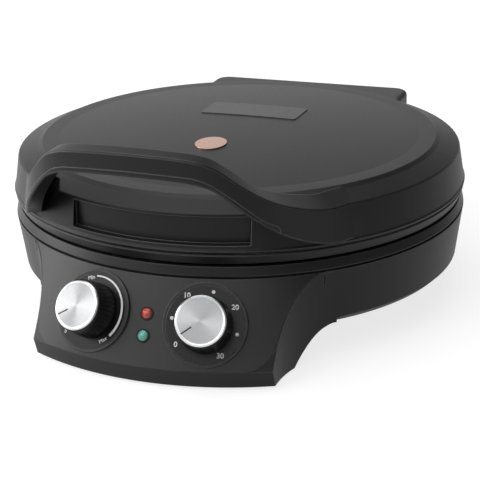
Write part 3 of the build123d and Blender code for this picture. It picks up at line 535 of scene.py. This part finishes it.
def finish_plan() -> dict[str, Finish]:
    """Lists the finish of each material slot but the knobs' caps, which have one each.

    Returns:
        The finish by the slot that wears it.
    """
    sparked, metal, lens = SparkedPlastic, WorkedMetal, TintedAcrylic
    return {
        # Black ABS: near-black with a soft sheen, stronger on the sloping panel.
        "housing_plastic": sparked("moulded_abs_housing", "222223", "1E1E1F"),
        "panel_plastic": sparked("moulded_abs_panel", "2A2A2B", "262627", specular=0.36),
        "cover_plastic": sparked("moulded_abs_cover", "1C1C1D", "18181A"),
        # The lid's edges carry the palest painted highlight.
        "lid_plastic": sparked("moulded_abs_lid", "202021", "1C1C1D", edge_colour="808082"),
        # PBT stands the plates' heat: slightly greyer and glossier lips.
        "rim_plastic": sparked("moulded_pbt_rim", "262627", "222223", 0.38),
        # Ribbed ABS knobs: blacker, with fine edges so that the ribs stay apart.
        "knob_plastic": sparked("moulded_abs_knob", "121213", "101011", 0.35, edge_mm=0.25),
        # Smooth polycarbonate dials: flat and black behind the print.
        "dial_plastic": sparked(
            "moulded_pc_dial", "141415", "121213", 0.3, grain_depth_mm=0.004
        ),
        # Thin ABS collars: black lines round the lenses.
        "bezel_plastic": sparked(
            "moulded_abs_bezel", "0A0A0A", "080808", 0.4, edge_mm=0.2, specular=0.2
        ),
        # Ivory nylon and brown phenolic, both inside and dull.
        "terminal_plastic": sparked("moulded_nylon_terminal", "C9C4B2", "C2BDAA", 0.5),
        "switch_plastic": sparked("moulded_phenolic_switch", "2E2721", "28221D", 0.5),
        # Moulded rubber: the flattest blacks, nearly without sheen.
        "foot_rubber": sparked("moulded_rubber_foot", "1A1A1A", "171717", 0.75),
        "gland_rubber": sparked("moulded_rubber_gland", "171717", "141414", 0.7),
        # Etched ABS inlay: a grey, glittering panel on the dome.
        "pad_plastic": PebbledInlay("moulded_abs_inlay", "5C5C5D"),
        # Cast aluminium under a sprayed non-stick coat: dark, silky, hardly metallic.
        "coated_plate": metal("coated_cast_aluminium", "1F1F20", 0.34, 1.2, metallic=0.2),
        # Drawn steel sheath, browned by its own heat.
        "heater_steel": metal("heat_toned_drawn_steel", "6E655C", 0.45, 2.0),
        # Mill-bright sheet: pale, with broad soft reflections.
        "reflector_metal": metal("rolled_aluminium", "C8C9CB", 0.3, 3.0),
        # Zinc-plated screws and bare drawn pins: small grey sparkles.
        "screw_steel": metal("zinc_plated_steel", "A9A9A8", 0.3, 0.6),
        "pin_steel": metal("drawn_steel", "9A9A9A", 0.28, 0.6),
        # Pressed disc with a rose plating: the one warm tone on the lid.
        "badge_metal": metal("rose_plated_steel", "DDB3A2", 0.3, 0.8),
        # Tinted acrylic: unlit lamps, coral red and sea green.
        "red_lens": lens("moulded_red_acrylic", "D8503E", "C24433"),
        "green_lens": lens("moulded_green_acrylic", "6FC4B4", "5AB0A0"),
    }


@dataclass
class Print:
    """Thin printed marks on a dial, gathered into one mesh."""

    name: str
    dial: Dial
    height_mm: float = 0.93
    film_mm: float = 0.06
    stroke_mm: float = 0.04  # what the ink spreads beyond the thin letter's outline
    weld_mm: float = 0.003  # points nearer than this are one
    least_mitre: float = 0.5  # keeps a sharp corner of a letter from growing into a spike
    font_share: float = 1.4  # font size over the height of its letters
    dot_facets: int = 24
    band_facets: int = 48
    marks: bmesh.types.BMesh = field(default_factory=bmesh.new)

    def polar(self, angle: float, radius: float) -> Vector:
        """Gives the point on the dial at an angle in degrees and a radius in millimetres."""
        turn = math.radians(angle)
        return Vector((radius * math.cos(turn), radius * math.sin(turn), self.height_mm)) * MM

    def dot(self, angle: float, radius: float, size: float) -> None:
        """Adds a round dot.

        Args:
            angle: direction on the dial in degrees.
            radius: distance from the middle in millimetres.
            size: radius of the dot in millimetres.
        """
        centre = self.polar(angle, radius)
        turns = [math.tau * n / self.dot_facets for n in range(self.dot_facets)]
        rim = [centre + Vector((math.cos(t), math.sin(t), 0)) * size * MM for t in turns]
        self.marks.faces.new([self.marks.verts.new(point) for point in rim])

    def band(self, start: float, end: float, radius: float, widths: tuple[float, float]) -> None:
        """Adds a curved band whose width changes evenly from one end to the other.

        Args:
            start: angle of the first end in degrees.
            end: angle of the second end in degrees.
            radius: outer radius in millimetres.
            widths: width at each end in millimetres.
        """
        rows = []
        for n in range(self.band_facets + 1):
            angle = start + (end - start) * n / self.band_facets
            width = widths[0] + (widths[1] - widths[0]) * n / self.band_facets
            row = [self.polar(angle, reach) for reach in (radius - width, radius)]
            rows.append([self.marks.verts.new(point) for point in row])
        for (a, b), (c, d) in zip(rows, rows[1:]):
            self.marks.faces.new((a, b, d, c))

    def word(
        self, text: str, angle: float, radius: float, size: float, tilt: float = 0.0
    ) -> None:
        """Adds a word or number, centred on a point of the dial.

        Args:
            text: what is printed.
            angle: direction of its middle on the dial in degrees.
            radius: distance of its middle in millimetres.
            size: height of the letters in millimetres.
            tilt: turn of the word in degrees.
        """
        curve = bpy.data.curves.new(self.name, "FONT")
        curve.body = text
        curve.size = size * self.font_share * MM
        curve.align_x = "CENTER"
        curve.align_y = "CENTER"
        holder = bpy.data.objects.new(self.name, curve)
        bpy.context.scene.collection.objects.link(holder)
        outline = bpy.data.meshes.new_from_object(holder)
        self.spread(outline)
        turn = Matrix.Rotation(math.radians(tilt), 4, "Z")
        outline.transform(Matrix.Translation(self.polar(angle, radius)) @ turn)
        self.marks.from_mesh(outline)
        bpy.data.objects.remove(holder)
        bpy.data.curves.remove(curve)
        bpy.data.meshes.remove(outline)

    def spread(self, outline: bpy.types.Mesh) -> None:
        """Widens flat letters by what the ink spreads.

        Args:
            outline: filled letters in the XY plane.
        """
        letters = bmesh.new()
        letters.from_mesh(outline)
        bmesh.ops.remove_doubles(letters, verts=letters.verts[:], dist=self.weld_mm * MM)
        moves = []
        for vert in letters.verts:
            sides = []
            for edge in vert.link_edges:
                if edge.is_boundary:
                    start, end = edge.verts[0].co, edge.verts[1].co
                    side = (end - start).cross(Vector((0, 0, 1))).normalized()
                    inward = edge.link_faces[0].calc_center_median() - start
                    sides.append(-side if side.dot(inward) > 0 else side)
            if len(sides) == 2:
                mitre = max(1 + sides[0].dot(sides[1]), self.least_mitre)
                moves.append((vert, (sides[0] + sides[1]) / mitre * self.stroke_mm * MM))
        for vert, move in moves:
            vert.co += move
        letters.to_mesh(outline)
        letters.free()

    def thicken(self) -> None:
        """Gives the flat marks the film's thickness, and puts their faces in a fixed order."""
        marks = self.marks
        bmesh.ops.remove_doubles(marks, verts=marks.verts[:], dist=self.weld_mm * MM)
        for face in marks.faces:
            face.normal_update()
            if face.normal.z < 0:
                face.normal_flip()
        bmesh.ops.solidify(marks, geom=marks.faces[:], thickness=self.film_mm * MM)
        bmesh.ops.recalc_face_normals(marks, faces=marks.faces[:])
        marks.verts.index_update()
        order = sorted(marks.faces, key=lambda face: sorted(vert.index for vert in face.verts))
        for n, face in enumerate(order):
            face.index = n
        marks.faces.sort()

    def finish(self, material: bpy.types.Material, slot: str, body: Body) -> None:
        """Turns the gathered marks into a piece on its dial.

        Args:
            material: ink.
            slot: material slot of the record; not used.
            body: rigid body that carries the dial.
        """
        self.thicken()
        heights = [vert.co.z / MM for vert in self.marks.verts]
        LOG.info("%s lies %.3f to %.3f mm over its dial", self.name, min(heights), max(heights))
        mesh = bpy.data.meshes.new(self.name)
        self.marks.to_mesh(mesh)
        self.marks.free()
        mesh.transform(self.dial.matrix())
        mesh.materials.append(material)
        piece = bpy.data.objects.new(self.name, mesh)
        bpy.context.scene.collection.objects.link(piece)
        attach(piece, body.value)


@dataclass
class TimerScale:
    """Minutes printed round the timer's knob, with a dot between each two numbers."""

    minutes: tuple[int, ...] = (0, 10, 20, 30)
    zero_angle: float = 216.0
    step: float = 46.1  # degrees from a number to the next dot
    radius: float = 23.2
    letter: float = 3.5
    stroke: float = 0.12
    dot_radius: float = 22.6
    dot_size: float = 1.2

    def build(self, ink: bpy.types.Material) -> None:
        """Prints the numbers and the dots clockwise from the lower left.

        Args:
            ink: what the marks are printed in.
        """
        scale = Print("timer_scale_print", Dial.TIMER, stroke_mm=self.stroke)
        for n, minute in enumerate(self.minutes):
            angle = self.zero_angle - 2 * n * self.step
            scale.word(str(minute), angle, self.radius, self.letter)
            if n:
                scale.dot(angle + self.step, self.dot_radius, self.dot_size)
        scale.finish(ink, "dial_plastic", Body.BASE)


@dataclass
class HeatScale:
    """Heat band printed round the thermostat's knob, from its lowest to its highest setting."""

    zero_angle: float = 227.0
    zero_radius: float = 24.6
    low_angle: float = 111.0
    high_angle: float = -50.0
    radius: float = 24.4
    inset: float = 1.3  # how far the words' middles lie inside the band's outer edge
    letter: float = 2.7
    band_start: float = 100.0
    band_end: float = -36.0
    band_widths: tuple[float, float] = (1.0, 1.9)

    def build(self, ink: bpy.types.Material) -> None:
        """Prints the zero, the two words and the band between them.

        Args:
            ink: what the marks are printed in.
        """
        scale = Print("thermostat_scale_print", Dial.THERMOSTAT)
        scale.word("0", self.zero_angle, self.zero_radius, self.letter)
        reach = self.radius - self.inset
        scale.word("Min", self.low_angle, reach, self.letter, self.low_angle - 90)
        scale.word("Max", self.high_angle, reach, self.letter, self.high_angle + 90)
        scale.band(self.band_start, self.band_end, self.radius, self.band_widths)
        scale.finish(ink, "dial_plastic", Body.BASE)


@dataclass
class DomeBand:
    """Near-level band that runs round the rim of the lid's dome and ends in a crisp crease."""

    inner_mm: float = 137.5
    crease_mm: float = 150.0
    foot_mm: float = 154.0
    margin_mm: float = 2.0  # how much further in the band starts, below the dome
    lift_mm: float = 0.9
    dip_mm: float = 0.15  # what the band's ends reach below the dome, so that no seam shows
    sink_mm: float = 0.7
    steps: int = 288
    above: float = 1.0  # height in metres that the lid is looked down on from

    def profile(self) -> list[tuple[float, float]]:
        """Gives the band's closed outline.

        Returns:
            Pairs of radius and height over the dome, in millimetres.
        """
        start = self.inner_mm - self.margin_mm
        middle = (self.inner_mm + self.crease_mm) / 2
        return [
            (start, -self.dip_mm),
            (self.inner_mm, 0.0),
            (middle, self.lift_mm / 2),
            (self.crease_mm, self.lift_mm),
            (self.foot_mm, -self.dip_mm),
            (self.foot_mm, -self.sink_mm),
            (middle, -self.sink_mm),
            (start, -self.sink_mm),
        ]

    def build(self, material: bpy.types.Material) -> None:
        """Turns the band's profile round the dome, on the heights of the lid itself.

        Args:
            material: the lid's finish.
        """
        centre = middle_of("lid_rim_ring")
        graph = bpy.context.evaluated_depsgraph_get()
        lid = BVHTree.FromObject(frame["nodes"]["lid_shell"], graph)

        def surface(reach: float) -> float:
            """Gives the lid's height at a distance from the dome's middle."""
            eye = Vector((centre[0] + reach * MM, centre[1], self.above))
            return lid.ray_cast(eye, Vector((0, 0, -1)))[0].z / MM

        points = [(reach, surface(reach) + lift) for reach, lift in self.profile()]
        place = Matrix.Translation((centre[0], centre[1], 0))
        piece = turned("lid_dome_band", points, self.steps, place)
        piece.data.materials.append(material)
        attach(piece, Body.LID.value)
        LOG.info("%s wears %s", piece.name, material.name)


@dataclass
class SubAssembly:
    """One rigid body of the appliance: its CAD nodes, and the finishes that they wear."""

    finishes: dict[str, bpy.types.Material]
    body: Body

    def build(self) -> None:
        """Adds what the CAD doesn't have, which is nothing on a plain body."""

    def dress(self) -> None:
        """Gives every CAD node of this body the finish of its slot, and smooth faces."""
        slots = {entry["node"]: entry["material_slot"] for entry in frame["record"]["subparts"]}
        holder = frame["bodies"][self.body.value]
        for node, piece in frame["nodes"].items():
            if piece.parent == holder:
                material = self.finishes[slots[node]]
                piece.data.materials.clear()
                piece.data.materials.append(material)
                faces = len(piece.data.polygons)
                piece.data.polygons.foreach_set("use_smooth", [True] * faces)
                LOG.info("%s wears %s", node, material.name)


@dataclass
class Lid(SubAssembly):
    """Lid with its handle, and the band round the rim of its dome."""

    body: Body = Body.LID
    band: DomeBand = field(default_factory=DomeBand)

    def build(self) -> None:
        """Lays the band in the lid's own finish."""
        self.band.build(self.finishes["lid_plastic"])


@dataclass
class Base(SubAssembly):
    """Base with its front panel, and the marks printed on the two dials."""

    body: Body = Body.BASE
    timer: TimerScale = field(default_factory=TimerScale)
    heat: HeatScale = field(default_factory=HeatScale)

    def build(self) -> None:
        """Prints both dials with the same ink."""
        ink = ScreenInk("screen_printed_ink").build()
        self.timer.build(ink)
        self.heat.build(ink)


@dataclass
class Control(SubAssembly):
    """Knob, metal cap and shaft that turn together over one dial."""

    dial: Dial

    def build(self) -> None:
        """Makes the finish of the cap, whose rings run about this knob's own axis."""
        place = self.dial.matrix()
        axis = tuple(place.col[2][:3])
        name = "spun_aluminium_" + self.body.value
        spun = SpunAluminium(name, tuple(place.translation), axis).build()
        self.finishes = {**self.finishes, "cap_aluminium": spun}


@dataclass(frozen=True)
class Softbox:
    """Soft lamp: its place and its size in metres, and its power in watts."""

    name: str
    place: tuple[float, float, float]
    size: tuple[float, float]
    power: float

    def hang(self, target: tuple[float, float, float]) -> None:
        """Hangs the lamp so that it faces the object.

        Args:
            target: point that it faces, in metres.
        """
        light = bpy.data.lights.new(self.name, "AREA")
        light.shape = "RECTANGLE"
        light.size, light.size_y = self.size
        light.energy = self.power
        holder = bpy.data.objects.new(self.name, light)
        holder.location = self.place
        aim = Vector(target) - Vector(self.place)
        holder.rotation_euler = aim.to_track_quat("-Z", "Y").to_euler()
        bpy.context.scene.collection.objects.link(holder)


@dataclass(frozen=True)
class Camera:
    """Camera fitted to the photograph: angles in degrees, distances in metres."""

    target: tuple[float, float, float] = (0.0, 0.010, 0.07645)
    azimuth: float = 20.26
    elevation: float = 18.72
    distance: float = 1.110
    roll: float = -1.36
    focal_px: float = 1428.0
    centre_px: tuple[float, float] = (239.93, 183.75)
    frame_px: float = 480.0
    sensor_mm: float = 36.0
    sight: float = 50.0

    def place(self) -> None:
        """Places the camera where the photograph was taken from."""
        azimuth, elevation = math.radians(self.azimuth), math.radians(self.elevation)
        level = math.cos(elevation)
        back = Vector((math.sin(azimuth) * level, -math.cos(azimuth) * level, math.sin(elevation)))
        right = Vector((math.cos(azimuth), math.sin(azimuth), 0))
        turn = Matrix((right, back.cross(right), back)).transposed().to_4x4()
        lens = bpy.data.cameras.new("camera")
        lens.sensor_width = self.sensor_mm
        lens.lens = self.focal_px / self.frame_px * self.sensor_mm
        lens.shift_x = (self.frame_px / 2 - self.centre_px[0]) / self.frame_px
        lens.shift_y = (self.centre_px[1] - self.frame_px / 2) / self.frame_px
        lens.clip_end = self.sight
        holder = bpy.data.objects.new("camera", lens)
        stand = Matrix.Translation(Vector(self.target) + back * self.distance)
        holder.matrix_world = stand @ turn @ Matrix.Rotation(math.radians(self.roll), 4, "Z")
        bpy.context.scene.collection.objects.link(holder)
        bpy.context.scene.camera = holder


@dataclass
class Studio:
    """Pale floor, tent, soft lamps and the camera. Turns are to the left of straight behind."""

    camera: Camera = Camera()
    lamps: tuple[Softbox, ...] = (
        Softbox("left_softbox", (-2.0, -0.5, 0.8), (1.2, 1.4), 21),
        Softbox("top_softbox", (-0.3, 0.0, 2.2), (1.9, 1.9), 25),
        Softbox("key_softbox", (-1.34, -1.52, 1.49), (1.6, 1.4), 8),
        Softbox("front_softbox", (-0.1, -1.75, 1.75), (2.6, 1.4), 18),
    )
    floor_size: float = 12.0
    floor_colour: str = "A0A0A0"
    floor_roughness: float = 0.9
    floor_specular: float = 0.1
    floor_glow: float = 0.78
    floor_turn: float = 70.0
    floor_span: tuple[float, float] = (-0.5, 0.9)  # metres across, from the dim to the bright side
    floor_dim: float = 0.58
    tent_turn: float = 52.0
    tent_span: tuple[float, float] = (-0.15, 0.75)  # cosines, from the dim to the bright side
    tent_dim: float = 0.2
    tent_rise: tuple[float, float] = (0.35, 0.8)  # sines of height, from the wall to the ceiling
    ceiling: float = 0.2
    ambient: float = 0.6

    def bright_side(self, turn: float) -> tuple[float, float, float]:
        """Gives the level direction of the brightest side, by its turn."""
        angle = math.radians(self.camera.azimuth + turn)
        return -math.sin(angle), math.cos(angle), 0.0

    def sweep(self) -> bpy.types.Material:
        """Builds matt white paper that keeps the shadow and runs out to white in the picture.

        Returns:
            The floor's material.
        """
        material, tree = new_material("matt_paper_sweep")
        place = add(tree, "TexCoord").outputs["Object"]
        sides = {0: place, 1: self.bright_side(self.floor_turn)}
        across = add(tree, "VectorMath", sides, operation="DOT_PRODUCT").outputs["Value"]
        span = {"From Min": self.floor_span[0], "From Max": self.floor_span[1],
                "To Min": self.floor_dim, "To Max": 1.0}
        fall = add(tree, "MapRange", {"Value": across, **span}, interpolation_type="SMOOTHSTEP")
        ray = add(tree, "LightPath").outputs
        mirror = {0: ray["Is Glossy Ray"], 1: fall.outputs[0]}
        mirrored = add(tree, "Math", mirror, operation="MULTIPLY").outputs[0]
        view = {0: ray["Is Camera Ray"], 1: ray["Is Transmission Ray"]}
        seen = add(tree, "Math", view, operation="MAXIMUM").outputs[0]
        shown = add(tree, "Math", {0: seen, 1: mirrored}, operation="MAXIMUM").outputs[0]
        glow = add(tree, "Math", {0: shown, 1: self.floor_glow}, operation="MULTIPLY")
        shader = add(tree, "BsdfPrincipled", {
            "Base Color": srgb(self.floor_colour),
            "Roughness": self.floor_roughness,
            "Specular IOR Level": self.floor_specular,
            "Emission Color": srgb("FFFFFF"),
            "Emission Strength": glow.outputs[0],
        })
        add(tree, "OutputMaterial", {"Surface": shader.outputs[0]})
        return material

    def floor(self) -> None:
        """Lays the floor under the object."""
        mesh = bpy.data.meshes.new("floor")
        half = self.floor_size / 2
        corners = [(-half, -half, 0), (half, -half, 0), (half, half, 0), (-half, half, 0)]
        mesh.from_pydata(corners, [], [(0, 1, 2, 3)])
        mesh.materials.append(self.sweep())
        piece = bpy.data.objects.new("floor", mesh)
        bpy.context.scene.collection.objects.link(piece)

    def tent(self) -> None:
        """Surrounds the object with a tent: white low down at the back and left, dim elsewhere."""
        world = bpy.data.worlds.new("tent")
        bpy.context.scene.world = world
        world.use_nodes = True
        tree = world.node_tree
        tree.nodes.clear()
        direction = add(tree, "TexCoord").outputs["Generated"]
        sides = {0: direction, 1: self.bright_side(self.tent_turn)}
        facing = add(tree, "VectorMath", sides, operation="DOT_PRODUCT").outputs["Value"]
        span = {"From Min": self.tent_span[0], "From Max": self.tent_span[1],
                "To Min": self.tent_dim, "To Max": 1.0}
        wall = add(tree, "MapRange", {"Value": facing, **span}, interpolation_type="SMOOTHSTEP")
        height = add(tree, "SeparateXYZ", {"Vector": direction}).outputs["Z"]
        span = {"From Min": self.tent_rise[0], "From Max": self.tent_rise[1],
                "To Min": 1.0, "To Max": self.ceiling}
        above = add(tree, "MapRange", {"Value": height, **span}, interpolation_type="SMOOTHSTEP")
        both = {0: wall.outputs[0], 1: above.outputs[0]}
        tent = add(tree, "Math", both, operation="MULTIPLY").outputs[0]
        ray = add(tree, "LightPath").outputs
        view = {0: ray["Is Camera Ray"], 1: ray["Is Transmission Ray"]}
        seen = add(tree, "Math", view, operation="MAXIMUM").outputs[0]
        mirror = {0: ray["Is Glossy Ray"], 1: tent}
        mirrored = add(tree, "Math", mirror, operation="MULTIPLY").outputs[0]
        shown = add(tree, "Math", {0: seen, 1: mirrored}, operation="MAXIMUM").outputs[0]
        ambient = add(tree, "Math", {0: tent, 1: self.ambient}, operation="MULTIPLY").outputs[0]
        strength = add(tree, "Math", {0: shown, 1: ambient}, operation="MAXIMUM").outputs[0]
        sky = add(tree, "Background", {"Color": srgb("FFFFFF"), "Strength": strength})
        add(tree, "OutputWorld", {"Surface": sky.outputs[0]})

    def build(self) -> None:
        """Sets up floor, tent, lamps, camera and plain colour handling."""
        self.floor()
        self.tent()
        for lamp in self.lamps:
            lamp.hang(self.camera.target)
        self.camera.place()
        bpy.context.scene.view_settings.view_transform = "Standard"


def main() -> None:
    """Builds and dresses the part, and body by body."""
    logging.basicConfig(level=logging.INFO, format="%(name)s: %(message)s")
    finishes = {slot: finish.build() for slot, finish in finish_plan().items()}
    units = (
        Lid(finishes),
        Base(finishes),
        Control(finishes, Body.THERMOSTAT, Dial.THERMOSTAT),
        Control(finishes, Body.TIMER, Dial.TIMER),
    )
    for unit in units:
        unit.build()
        unit.dress()
        LOG.info("%s built and dressed", unit.body.value)
    Studio().build()


if __name__ == "__main__":
    main()
